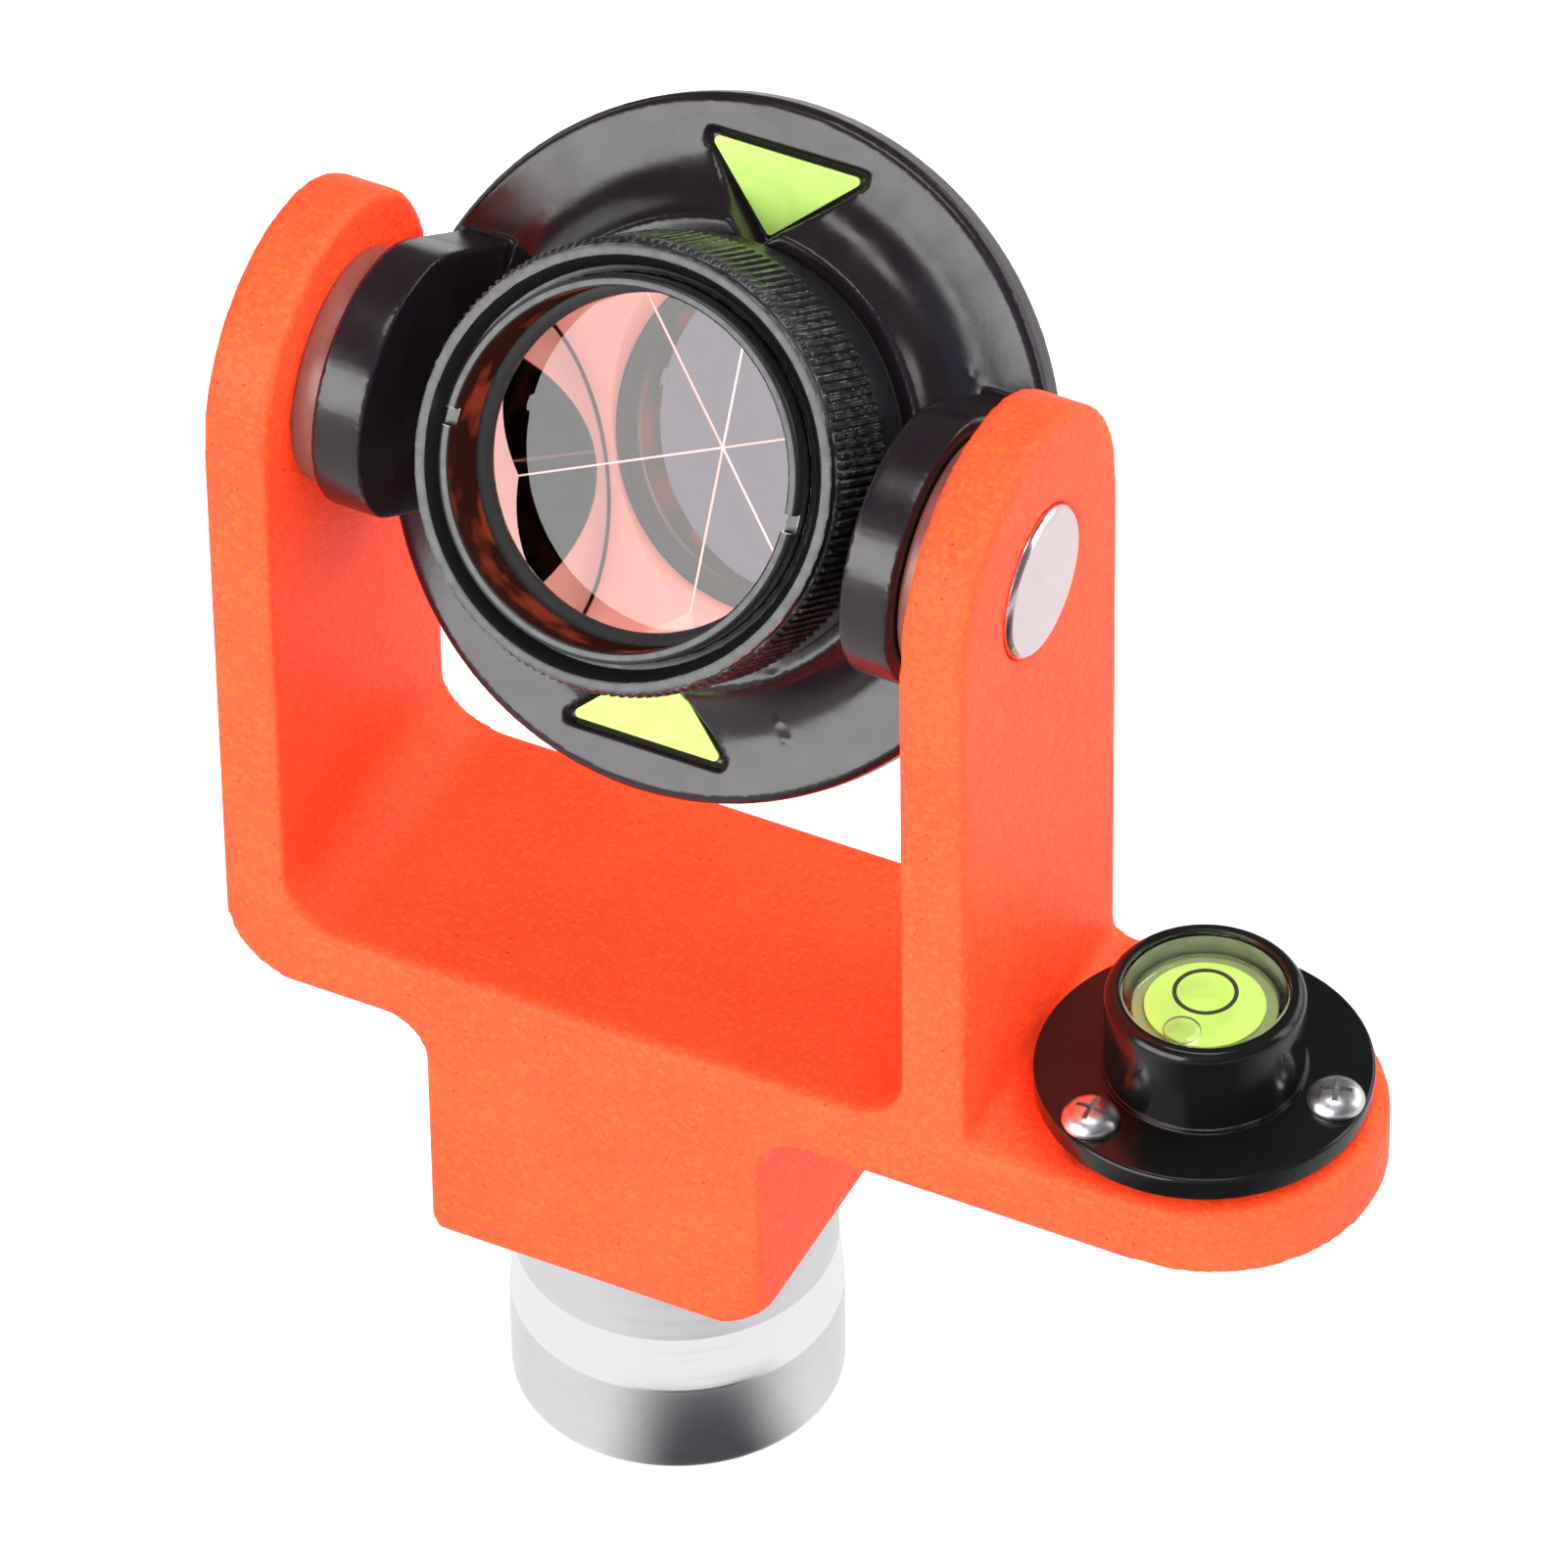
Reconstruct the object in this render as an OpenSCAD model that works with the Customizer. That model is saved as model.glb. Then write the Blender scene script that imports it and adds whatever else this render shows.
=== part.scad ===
// Tilting survey prism in a cast yoke, with a circular level and a threaded stub.
// Units are millimetres. The origin is the centre of the stub's bottom face, +Z is up
// and the glass faces -Y. Each module below is one node of the assembly.

/* [Yoke] */
// Height of the tilt axis above the bottom face of the stub
axis_z = 83.5; // [75:0.5:95]
// Depth of the yoke from front to back
yoke_depth = 24; // [20:0.5:30]
// Clear gap between the two arms
arm_gap = 47.2; // [46:0.1:56]
// Thickness of each arm
arm_t = 4.5; // [3:0.1:8]
// Height of the yoke's floor
floor_z = 41.9; // [36:0.1:46]
// Thickness of the yoke's base and of the level's lug
base_t = 5.3; // [3:0.1:8]
// Radius inside the lower corners of the yoke
inner_corner_r = 4.5; // [2:0.1:8]
// Radius outside the lower left corner of the yoke
outer_corner_r = 5.5; // [2:0.1:8]
// Distance of the boss's left face from the stub's axis
boss_left_x = 12.8; // [12.2:0.1:16]
// Distance of the boss's right face from the stub's axis
boss_right_x = 12.5; // [12.2:0.1:16]
// Height of the boss's bottom face
boss_z = 17.5; // [14:0.1:24]
// Radius of the boss's lower right edge
boss_edge_r = 2; // [0.5:0.1:4]
// Radius of the boss's lower left edge
boss_corner_r = 0.7; // [0.2:0.1:3]
// Radius where the boss meets the base
boss_fillet = 3.5; // [1:0.1:6]

/* [Stub] */
// Radius of the stub below its cone
stub_r = 11.8; // [10:0.1:16]
// Radius of the stub above its cone
stub_neck_r = 11.45; // [9:0.05:15]
// Height of the lower edge of the cone
cone_low_z = 7.6; // [4:0.1:9]
// Height of the upper edge of the cone
cone_high_z = 12.2; // [9:0.1:14]
// Radius of the plain bore that stands for the 5/8 inch, 11 threads per inch socket
socket_r = 6.75; // [6.7:0.01:6.95]
// Depth of the socket
socket_depth = 14; // [10:0.5:16]

/* [Tilt] */
// Angle the glass looks up at rest, in degrees
prism_tilt = 33.5; // [0:0.5:90]
// Radius of the trunnion pin's head, pressed into the arm
pin_head_r = 5.4; // [4:0.1:7]
// How far the pin's head stands out of the arm
pin_proud = 0.5; // [0:0.1:2]
// Radius of the journal that the holder turns on
journal_r = 3; // [2:0.1:4]
// Radial running clearance on the journal
journal_gap = 0.05; // [0.01:0.01:0.1]
// Radius of the friction washers
washer_r = 8.3; // [6:0.1:10]

/* [Target holder] */
// Radius of the target disc
disc_r = 24.1; // [22:0.1:25]
// Distance of the disc's front face behind the tilt axis
disc_front = 9.95; // [8:0.05:12]
// Thickness of the disc
disc_t = 3; // [2:0.1:4]
// Radius of the fillet between the disc and its hub
hub_fillet_r = 5; // [3:0.1:6]
// Radius of the hub in front of the disc and the collar behind it
hub_r = 16; // [15.2:0.1:17]
// Radius of the rounded ears
ear_r = 9.3; // [7:0.1:11]
// Distance from the middle to an ear's inner face
ear_inner_x = 17.8; // [16.5:0.1:19]

/* [Canister] */
// Radius of the knurled collar
knurl_r = 15.4; // [15:0.1:16]
// Radius of the smooth parts of the collar
collar_r = 15; // [14.5:0.1:15.5]
// Outside radius of the canister's thread
thread_r = 13.9; // [13.5:0.1:14.2]
// Distance of the canister's front face ahead of the tilt axis
face_q = 6.6; // [4:0.1:10]
// Radius of the glass
glass_r = 12.7; // [12.5:0.1:12.8]
// Distance of the glass's front face ahead of the tilt axis
glass_q = 0.6; // [-2:0.1:3]
// Height of the glass from its front face to its tip
glass_h = 18.8; // [18.2:0.1:20]
// Turn of the glass about its axis, in degrees
cube_turn = 23; // [0:1:120]

/* [Level] */
// Distance of the lug's round end from the stub's axis
lug_x = 41.1; // [38:0.1:50]
// Distance of the level's centre from the stub's axis
level_x = 40.6; // [38:0.1:50]
// How far the level sits forward of the lug's middle
level_forward = 0.2; // [0:0.1:1]
// Radius of the level's flange
flange_r = 11.6; // [10:0.1:12]
// Thickness of the rubber ring under the flange
cushion_t = 1.1; // [0.5:0.1:2]
// Thickness of the flange
flange_t = 1.9; // [1:0.1:3]
// Outside radius of the level's cup
cup_r = 6.85; // [6.5:0.05:7.5]
// Height of the cup above the flange
cup_h = 6.9; // [4:0.1:9]
// Outside radius of the vial
vial_r = 5.7; // [4.5:0.1:6]
// Radius of the circle of the level's screws
screw_circle_r = 9.6; // [9:0.1:9.8]

/* [Hidden] */
$fn = 96;
half_depth = yoke_depth / 2;
half_gap = arm_gap / 2;
arm_outer_x = half_gap + arm_t;
base_z = floor_z - base_t;
fit_gap = 0.05;
spigot_r = 8;
spigot_h = 12;
fixing_r = 3;
washer_in_x = 21.55;
disc_flat_x = half_gap - 0.3;
washer_out_x = half_gap - 0.1;
ear_outer_x = washer_in_x - 0.1;
journal_end_x = 18.9;
hub_front = 7.1;
fillet_drop = hub_fillet_r - disc_front + hub_front;
fillet_x = hub_r + sqrt(pow(hub_fillet_r, 2) - pow(fillet_drop, 2));
hub_bore_r = thread_r + fit_gap;
collar_back = 6.5;
front_bore_r = 13.05;
glass_bore_r = glass_r + 0.1;
rear_bore_r = 11.5;
cushion_q = -12.4;
rear_q = -20.8;
cap_q = -18.9;
cap_r = 12.5;
tip_q = glass_q - glass_h;
ring_in_r = 12.2;
ring_out_r = 13;
flange_z = floor_z + cushion_t;
cup_floor_z = flange_z + 0.8;
cup_z = flange_z + flange_t + cup_h;
vial_top_z = cup_z - 0.35;
vial_low_z = cup_floor_z;
cavity_r = 4.95;
cavity_z = vial_top_z - 2.1;
dome_r = 30;
dome_top_z = vial_top_z - 0.8;
bubble_x = -0.25;
bubble_y = -3.2;
bubble_r = 1.3;
bubble_half_h = 0.42;
bubble_z = cavity_z + 0.53;
orange = [0.95, 0.25, 0.1];
black = [0.05, 0.05, 0.055];
metal = [0.75, 0.75, 0.76];
lime = [0.75, 0.95, 0.25];

// Turns +Z into the prism's optical axis, pointing out of the glass, at the tilt axis.
module on_prism() {
    translate([0, 0, axis_z]) rotate([90 - prism_tilt, 0, 0]) children();
}

// Extrudes an outline drawn in X and Z through the depth of the yoke.
module through_depth(depth) {
    rotate([90, 0, 0]) linear_extrude(height = depth, center = true) children();
}

// A ring on the local Z axis between two heights.
module ring(low, high, inner, outer) {
    translate([0, 0, low]) difference() {
        cylinder(h = high - low, r = outer);
        translate([0, 0, -1]) cylinder(h = high - low + 2, r = inner);
    }
}

// A round bar along X between two distances.
module bar_x(x0, x1, r) {
    translate([x0, 0, axis_z]) rotate([0, 90, 0]) cylinder(h = x1 - x0, r = r);
}

// Outline of the U with its left corner rounded; the right one runs on into the lug.
module u_outline() {
    difference() {
        union() {
            translate([-arm_outer_x, base_z + outer_corner_r])
                square([2 * arm_outer_x, axis_z - base_z - outer_corner_r]);
            translate([-arm_outer_x + outer_corner_r, base_z])
                square([2 * arm_outer_x - outer_corner_r, base_t + 2]);
            translate([-arm_outer_x + outer_corner_r, base_z + outer_corner_r])
                circle(r = outer_corner_r);
        }
        translate([-half_gap, floor_z + inner_corner_r]) square([arm_gap, axis_z]);
        translate([-half_gap + inner_corner_r, floor_z])
            square([arm_gap - 2 * inner_corner_r, 2 * inner_corner_r]);
        for (side = [-1, 1])
            translate([side * (half_gap - inner_corner_r), floor_z + inner_corner_r])
                circle(r = inner_corner_r);
    }
}

// Outline of the concave fillets that join the boss to the base.
module boss_wings() {
    difference() {
        translate([-boss_left_x - boss_fillet, base_z - boss_fillet])
            square([boss_left_x + boss_right_x + 2 * boss_fillet, boss_fillet + 1]);
        for (x = [-boss_left_x - boss_fillet, boss_right_x + boss_fillet])
            translate([x, base_z - boss_fillet]) circle(r = boss_fillet);
    }
}

// Outline of the boss with both lower edges rounded.
module boss_outline() {
    translate([-boss_left_x + boss_corner_r, boss_z])
        square([boss_left_x + boss_right_x - boss_corner_r - boss_edge_r, base_z - boss_z + 0.1]);
    translate([-boss_left_x, boss_z + boss_corner_r])
        square([boss_left_x, base_z - boss_z - boss_corner_r + 0.1]);
    translate([0, boss_z + boss_edge_r])
        square([boss_right_x, base_z - boss_z - boss_edge_r + 0.1]);
    translate([-boss_left_x + boss_corner_r, boss_z + boss_corner_r]) circle(r = boss_corner_r);
    translate([boss_right_x - boss_edge_r, boss_z + boss_edge_r]) circle(r = boss_edge_r);
}

// Profile that trims the boss's right corners inwards towards the stub.
module corner_profile() {
    intersection() {
        translate([-7.8, boss_z + 9.6]) circle(r = 25.2, $fn = 180);
        translate([0, boss_z]) square([17.4, 9.6]);
    }
    translate([0, boss_z + 9.6]) square([17.4, base_z - boss_z - 9.5]);
}

module boss() {
    intersection() {
        through_depth(yoke_depth) boss_outline();
        union() {
            rotate_extrude() corner_profile();
            translate([-boss_left_x - 1, -half_depth - 1, boss_z - 1])
                cube([boss_left_x + 1, yoke_depth + 2, base_z - boss_z + 2]);
        }
    }
}

module lug() {
    translate([half_gap, -half_depth, base_z]) cube([lug_x - half_gap, yoke_depth, base_t]);
    translate([lug_x, 0, base_z]) cylinder(h = base_t, r = half_depth);
    // Fillet at the foot of the right arm.
    through_depth(yoke_depth) difference() {
        translate([arm_outer_x - 0.1, floor_z - 0.1]) square([1.3, 1.3]);
        translate([arm_outer_x + 1.2, floor_z + 1.2]) circle(r = 1.2);
    }
}

module yoke() {
    color(orange) difference() {
        union() {
            through_depth(yoke_depth) union() {
                u_outline();
                boss_wings();
            }
            bar_x(half_gap, arm_outer_x, half_depth);
            bar_x(-arm_outer_x, -half_gap, half_depth);
            boss();
            lug();
        }
        bar_x(-arm_outer_x - 1, -half_gap + 1, pin_head_r + 0.02);
        bar_x(half_gap - 1, arm_outer_x + 1, pin_head_r + 0.02);
        translate([0, 0, boss_z - 1]) cylinder(h = spigot_h + 1.2, r = spigot_r + fit_gap);
        translate([0, 0, boss_z]) cylinder(h = 21, r = fixing_r + fit_gap);
        at_level_screws() translate([0, 0, base_z + 0.6]) cylinder(h = base_t, r = 1);
    }
}

module base_stub() {
    color(metal) difference() {
        union() {
            rotate_extrude() polygon([
                [0, 0], [stub_r - 0.2, 0], [stub_r, 0.2], [stub_r, cone_low_z],
                [stub_neck_r, cone_high_z], [stub_neck_r, boss_z], [0, boss_z]]);
            translate([0, 0, boss_z - 1]) cylinder(h = spigot_h + 1, r = spigot_r);
        }
        translate([0, 0, -1]) cylinder(h = socket_depth + 1, r = socket_r);
        translate([0, 0, socket_depth - 1]) cylinder(h = 5, r = 5.6);
        translate([0, 0, 1]) cylinder(h = 40, r = fixing_r + 0.2);
    }
}

// Socket head screw that holds the stub's spigot up in the boss.
module stub_fixing_screw() {
    color(metal) difference() {
        union() {
            translate([0, 0, socket_depth + 0.5]) cylinder(h = 3.5, r = 5);
            translate([0, 0, socket_depth + 1]) cylinder(h = 22, r = fixing_r);
        }
        translate([0, 0, socket_depth]) cylinder(h = 3, r = 2.9, $fn = 6);
    }
}

// Shouldered pin drawn on the right side; the left one is its mirror image.
module trunnion_pin() {
    color(metal) translate([0, 0, axis_z]) rotate([0, 90, 0]) rotate_extrude() polygon([
        [0, journal_end_x], [journal_r - 0.4, journal_end_x], [journal_r, journal_end_x + 0.4],
        [journal_r, half_gap], [pin_head_r, half_gap],
        [pin_head_r, arm_outer_x + pin_proud - 0.35],
        [pin_head_r - 0.35, arm_outer_x + pin_proud], [0, arm_outer_x + pin_proud]]);
}

module right_trunnion_pin() {
    trunnion_pin();
}

module left_trunnion_pin() {
    mirror([1, 0, 0]) trunnion_pin();
}

module friction_washer() {
    color([0.6, 0.52, 0.48]) difference() {
        bar_x(washer_in_x, washer_out_x, washer_r);
        bar_x(washer_in_x - 1, washer_out_x + 1, journal_r + 0.1);
    }
}

module right_friction_washer() {
    friction_washer();
}

module left_friction_washer() {
    mirror([1, 0, 0]) friction_washer();
}

// Round-ended ear in prism coordinates, from the disc forward to the tilt axis.
module ear() {
    translate([ear_inner_x, 0, 0]) rotate([0, 90, 0])
        cylinder(h = ear_outer_x - ear_inner_x, r = ear_r);
    translate([ear_inner_x, -ear_r, -disc_front - 1])
        cube([ear_outer_x - ear_inner_x, 2 * ear_r, disc_front + 1]);
}

// Triangle with rounded corners about three centres, its point towards the hub.
module rounded_mark(half_w, top, low, r) {
    side = norm([half_w, top - low]);
    nx = r * (top - low) / side;
    ny = -r * half_w / side;
    polygon([[-half_w, top + r], [half_w, top + r], [half_w + nx, top + ny], [nx, low + ny],
             [-nx, low + ny], [-half_w - nx, top + ny]]);
    translate([half_w, top]) circle(r = r);
    translate([-half_w, top]) circle(r = r);
    translate([0, low]) circle(r = r);
}

module pocket_outline() {
    rounded_mark(5.6, 20.5, 14.85, 0.5);
}

module target_holder() {
    color(black) on_prism() difference() {
        union() {
            rotate_extrude() {
                polygon([
                    [hub_bore_r, -disc_front - disc_t - 2], [hub_r, -disc_front - disc_t - 2],
                    [hub_r, -disc_front - disc_t], [disc_r - 0.4, -disc_front - disc_t],
                    [disc_r, -disc_front - disc_t + 0.4], [disc_r, -disc_front - 0.4],
                    [disc_r - 0.4, -disc_front], [fillet_x, -disc_front], [hub_r, -disc_front],
                    [hub_r, -hub_front], [hub_bore_r, -hub_front]]);
            }
            rotate_extrude() difference() {
                translate([hub_bore_r, -disc_front - 0.5])
                    square([fillet_x - hub_bore_r, disc_front - hub_front + 0.5]);
                translate([fillet_x, hub_fillet_r - disc_front]) circle(r = hub_fillet_r);
            }
            ear();
            mirror([1, 0, 0]) ear();
        }
        for (side = [0, 1]) mirror([side, 0, 0])
            translate([journal_end_x - 0.3, 0, 0]) rotate([0, 90, 0])
                cylinder(h = 5, r = journal_r + journal_gap);
        translate([0, 0, -disc_front - 0.5]) linear_extrude(height = 4) pocket_outline();
        translate([0, 0, -disc_front - 0.5]) linear_extrude(height = 4) mirror([0, 1])
            pocket_outline();
        // Flats that let the disc pass between the arms.
        for (side = [0, 1]) mirror([side, 0, 0])
            translate([disc_flat_x, -disc_r, -disc_front - disc_t - 1])
                cube([3, 2 * disc_r, disc_t + 2]);
    }
}

module target_mark() {
    translate([0, 0, -disc_front - 0.48]) linear_extrude(height = 0.35)
        rounded_mark(5.05, 20.2, 15.4, 0.35);
}

module upper_target_mark() {
    color(lime) on_prism() target_mark();
}

module lower_target_mark() {
    color(lime) on_prism() mirror([0, 1, 0]) target_mark();
}

module thread_seal_ring() {
    color(black) on_prism() ring(-hub_front + 0.05, -collar_back - 0.05, thread_r + 0.05, 14.8);
}

module prism_canister() {
    color(black) on_prism() difference() {
        rotate_extrude() polygon([
            [thread_r - 0.5, rear_q], [thread_r, rear_q + 0.5], [thread_r, -collar_back],
            [collar_r, -collar_back], [collar_r, -2.3], [knurl_r, -2], [knurl_r, face_q - 1],
            [collar_r, face_q - 0.8], [collar_r, face_q], [14.25, face_q],
            [13.5, face_q - 1.2], [front_bore_r, face_q - 1.2], [front_bore_r, 0],
            [glass_bore_r, 0], [glass_bore_r, cushion_q], [rear_bore_r, cushion_q],
            [rear_bore_r, cap_q], [cap_r, cap_q], [cap_r, rear_q]]);
    }
}

// Threaded ring with two spanner notches, a little proud of the canister's face.
module retaining_ring() {
    color(black) on_prism() difference() {
        rotate_extrude() polygon([
            [ring_in_r, 4.4], [ring_out_r, 4.4], [ring_out_r, 7.2], [ring_out_r - 0.2, 7.4],
            [ring_in_r + 0.1, 7.4], [ring_in_r, 7.3]]);
        for (side = [-1, 1])
            translate([side * 12.6 - 1, -0.6, 6.5]) cube([2, 1.2, 2]);
    }
}

module spacer_ring() {
    color(black) on_prism() ring(2.6, 4.35, ring_in_r, ring_out_r);
}

// Rubber ring on the front of the glass, with a rounded inner lip.
module front_cushion_ring() {
    color(black) on_prism() rotate_extrude() union() {
        translate([12.2, glass_q + 0.05]) square([0.8, 1.9]);
        translate([12.2, glass_q + 1]) circle(r = 0.8);
    }
}

// Solid corner cube: a cylinder cut by the three faces of a cube standing on its corner.
module corner_cube_glass() {
    color([1, 0.55, 0.45, 0.6]) on_prism() intersection() {
        translate([0, 0, tip_q]) cylinder(h = glass_h, r = glass_r);
        translate([0, 0, tip_q]) rotate([0, 0, cube_turn]) rotate([0, -atan(sqrt(2)), 0])
            rotate([0, 0, -45])
                cube([60, 60, 60]);
    }
}

// Rubber ring behind the glass, with a seat that meets the three edges of the cube.
module rear_cushion_ring() {
    color(black) on_prism() rotate_extrude() polygon([
        [8.35, cushion_q + 0.05], [glass_bore_r - 0.05, cushion_q + 0.05],
        [glass_bore_r - 0.05, -10.4], [11.15, -10.4]]);
}

module rear_cap() {
    color(black) on_prism() difference() {
        translate([0, 0, rear_q - 0.3]) cylinder(h = cap_q - rear_q + 0.25, r = cap_r - fit_gap);
        for (side = [-1, 1])
            translate([side * 8, 0, rear_q - 1]) cylinder(h = 1.9, r = 0.9);
    }
}

module at_level() {
    translate([level_x, -level_forward, 0]) children();
}

module at_level_screws() {
    for (turn = [2, 122, 242])
        at_level() rotate([0, 0, turn]) translate([screw_circle_r, 0, 0]) children();
}

module level_cushion_ring() {
    color(black) at_level() ring(floor_z + 0.02, flange_z - 0.02, 4.5, 7.9);
}

module level_housing() {
    color(black) difference() {
        at_level() rotate_extrude() polygon([
            [0, flange_z], [flange_r - 0.2, flange_z], [flange_r, flange_z + 0.2],
            [flange_r, flange_z + flange_t - 0.2], [flange_r - 0.2, flange_z + flange_t],
            [cup_r + 0.15, flange_z + flange_t], [cup_r + 0.15, flange_z + flange_t + 0.25],
            [cup_r, flange_z + flange_t + 0.3], [cup_r, cup_z - 0.5], [cup_r - 0.5, cup_z],
            [vial_r + fit_gap + 0.1, cup_z], [vial_r + fit_gap, cup_z - 0.1],
            [vial_r + fit_gap, cup_floor_z - 0.05], [0, cup_floor_z - 0.05]]);
        at_level_screws() translate([0, 0, flange_z - 1]) cylinder(h = flange_t + 2, r = 1.15);
    }
}

// Space inside the vial, closed at the top by a shallow dome.
module vial_cavity(shrink) {
    intersection() {
        translate([0, 0, cavity_z + shrink])
            cylinder(h = 5, r = cavity_r - shrink);
        translate([0, 0, dome_top_z - shrink - dome_r]) sphere(r = dome_r, $fn = 180);
    }
}

// A flat bubble with a rounded rim, grown all round by the given amount.
module bubble_shape(grow) {
    translate([bubble_x, bubble_y, bubble_z]) rotate_extrude() union() {
        translate([0, -bubble_half_h - grow])
            square([bubble_r - bubble_half_h, 2 * (bubble_half_h + grow)]);
        intersection() {
            translate([bubble_r - bubble_half_h, 0]) circle(r = bubble_half_h + grow);
            translate([0, -1]) square([5, 2]);
        }
    }
}

module level_vial() {
    color([0.85, 0.95, 0.85, 0.4]) at_level() difference() {
        translate([0, 0, vial_low_z]) cylinder(h = vial_top_z - vial_low_z, r = vial_r);
        vial_cavity(0);
        translate([0, 0, vial_low_z - 1]) cylinder(h = cavity_z - vial_low_z + 1.1, r = cavity_r);
    }
}

module level_liquid() {
    color([0.8, 0.95, 0.5, 0.5]) at_level() difference() {
        vial_cavity(0.02);
        bubble_shape(0.02);
    }
}

module level_bubble() {
    color([0.9, 0.9, 0.9, 0.5]) at_level() bubble_shape(0);
}

module level_ring_mark() {
    color(black) at_level() ring(vial_top_z + 0.01, vial_top_z + 0.06, 1.95, 2.25);
}

module level_back_disc() {
    color(lime) at_level() ring(cavity_z - 0.22, cavity_z - 0.02, 0, 4.1);
}

module level_plug() {
    color([0.9, 0.9, 0.88]) at_level() translate([0, 0, vial_low_z + 0.02])
        cylinder(h = cavity_z - vial_low_z - 0.28, r = cavity_r - 0.03);
}

// Three pan head screws with cross recesses, as separate solids of one node.
module level_screws() {
    color(metal) at_level_screws() translate([0, 0, flange_z + flange_t + 0.02]) difference() {
        union() {
            translate([0, 0, -6]) cylinder(h = 6.1, r = 0.95);
            intersection() {
                cylinder(h = 1.35, r = 2);
                translate([0, 0, -1.35]) sphere(r = 2.7);
            }
        }
        translate([-1.1, -0.22, 0.65]) cube([2.2, 0.44, 2]);
        translate([-0.22, -1.1, 0.65]) cube([0.44, 2.2, 2]);
    }
}

yoke();
base_stub();
stub_fixing_screw();
left_trunnion_pin();
right_trunnion_pin();
left_friction_washer();
right_friction_washer();
target_holder();
upper_target_mark();
lower_target_mark();
thread_seal_ring();
prism_canister();
retaining_ring();
spacer_ring();
front_cushion_ring();
corner_cube_glass();
rear_cushion_ring();
rear_cap();
level_cushion_ring();
level_housing();
level_vial();
level_liquid();
level_bubble();
level_ring_mark();
level_back_disc();
level_plug();
level_screws();
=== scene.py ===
import math

import bmesh
import bpy
from mathutils import Matrix, Vector


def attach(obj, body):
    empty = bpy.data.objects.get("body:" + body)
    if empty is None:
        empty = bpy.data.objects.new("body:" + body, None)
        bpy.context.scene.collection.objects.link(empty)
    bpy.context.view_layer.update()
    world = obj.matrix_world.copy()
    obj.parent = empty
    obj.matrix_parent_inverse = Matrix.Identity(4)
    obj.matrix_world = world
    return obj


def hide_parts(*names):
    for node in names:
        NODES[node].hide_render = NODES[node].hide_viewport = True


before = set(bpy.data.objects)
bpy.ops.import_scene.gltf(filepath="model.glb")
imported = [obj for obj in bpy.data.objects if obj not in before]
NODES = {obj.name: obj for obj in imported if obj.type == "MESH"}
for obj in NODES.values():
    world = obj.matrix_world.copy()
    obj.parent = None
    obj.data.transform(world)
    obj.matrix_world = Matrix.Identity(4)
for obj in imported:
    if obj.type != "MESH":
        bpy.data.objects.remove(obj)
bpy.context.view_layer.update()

MM = 0.001
AXIS_Z = 83.5  # height of the trunnion pins' axis
TILT = 33.5  # the prism's angle above level at rest, in degrees
# Each place turns a piece drawn about its own Z: to the prism's line, to the circular
# level's upright axis, and to the pins' axis along X.
PRISM = Matrix.Translation((0, 0, AXIS_Z * MM)) @ Matrix.Rotation(math.radians(90 - TILT), 4, "X")
LEVEL = Matrix.Translation((40.6 * MM, -0.2 * MM, 0.5 * MM))
ALONG_X = Matrix.Translation((0, 0, AXIS_Z * MM)) @ Matrix.Rotation(math.radians(90), 4, "Y")


# ---------------------------------------------------------------- mesh helpers

def piece(name, mesh, body, stands_for, material, place=None, sharp=35):
    """A finished piece: smooth shaded, placed, given its material and its body."""
    if place is not None:
        mesh.transform(place)
        if place.determinant() < 0:
            mesh.flip_normals()
    mesh.polygons.foreach_set("use_smooth", [True] * len(mesh.polygons))
    mesh.set_sharp_from_angle(angle=math.radians(sharp))
    made = bpy.data.objects.new(name, mesh)
    bpy.context.scene.collection.objects.link(made)
    for each in material if isinstance(material, list) else [material]:
        mesh.materials.append(each)
    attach(made, body)
    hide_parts(*stands_for)
    return made


def soften(points, radius, steps=3, closed=True):
    """The outline with each corner replaced by a short curve about radius across. radius
    is one value for all corners or a list with one for each point."""
    count = len(points)
    out = []
    for i, (r, h) in enumerate(points):
        if (not closed and i in (0, count - 1)) or r < 1e-6:
            out.append((r, h))
            continue
        here = Vector((r, h))
        before, after = Vector(points[i - 1]), Vector(points[(i + 1) % count])
        size = radius[i] if isinstance(radius, list) else radius
        if size <= 0:
            out.append((r, h))
            continue
        a = here + (before - here).normalized() * min(size, (before - here).length * 0.45)
        b = here + (after - here).normalized() * min(size, (after - here).length * 0.45)
        for k in range(steps + 1):
            t = k / steps
            p = a * (1 - t) ** 2 + here * 2 * t * (1 - t) + b * t ** 2
            out.append((p.x, p.y))
    return out


def lathe(name, points, segments=128, warp=None, closed=True):
    """A turned mesh from an outline of (radius, height) in millimetres about local Z.
    warp changes a vertex's radius from its radius, height and angle."""
    bm = bmesh.new()
    rings = []
    for r, h in points:
        if r < 1e-6:
            rings.append([bm.verts.new((0, 0, h * MM))])
            continue
        ring = []
        for s in range(segments):
            angle = 2 * math.pi * s / segments
            rr = warp(r, h, angle) if warp else r
            ring.append(bm.verts.new((rr * math.cos(angle) * MM, rr * math.sin(angle) * MM, h * MM)))
        rings.append(ring)
    pairs = list(zip(rings, rings[1:]))
    if closed:
        pairs.append((rings[-1], rings[0]))
    for a, b in pairs:
        for s in range(segments):
            n = (s + 1) % segments
            if len(a) == 1 and len(b) == 1:
                break
            if len(a) == 1:
                bm.faces.new((a[0], b[n], b[s]))
            elif len(b) == 1:
                bm.faces.new((a[s], a[n], b[0]))
            else:
                bm.faces.new((a[s], a[n], b[n], b[s]))
    bmesh.ops.recalc_face_normals(bm, faces=bm.faces)
    mesh = bpy.data.meshes.new(name)
    bm.to_mesh(mesh)
    bm.free()
    return mesh


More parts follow.
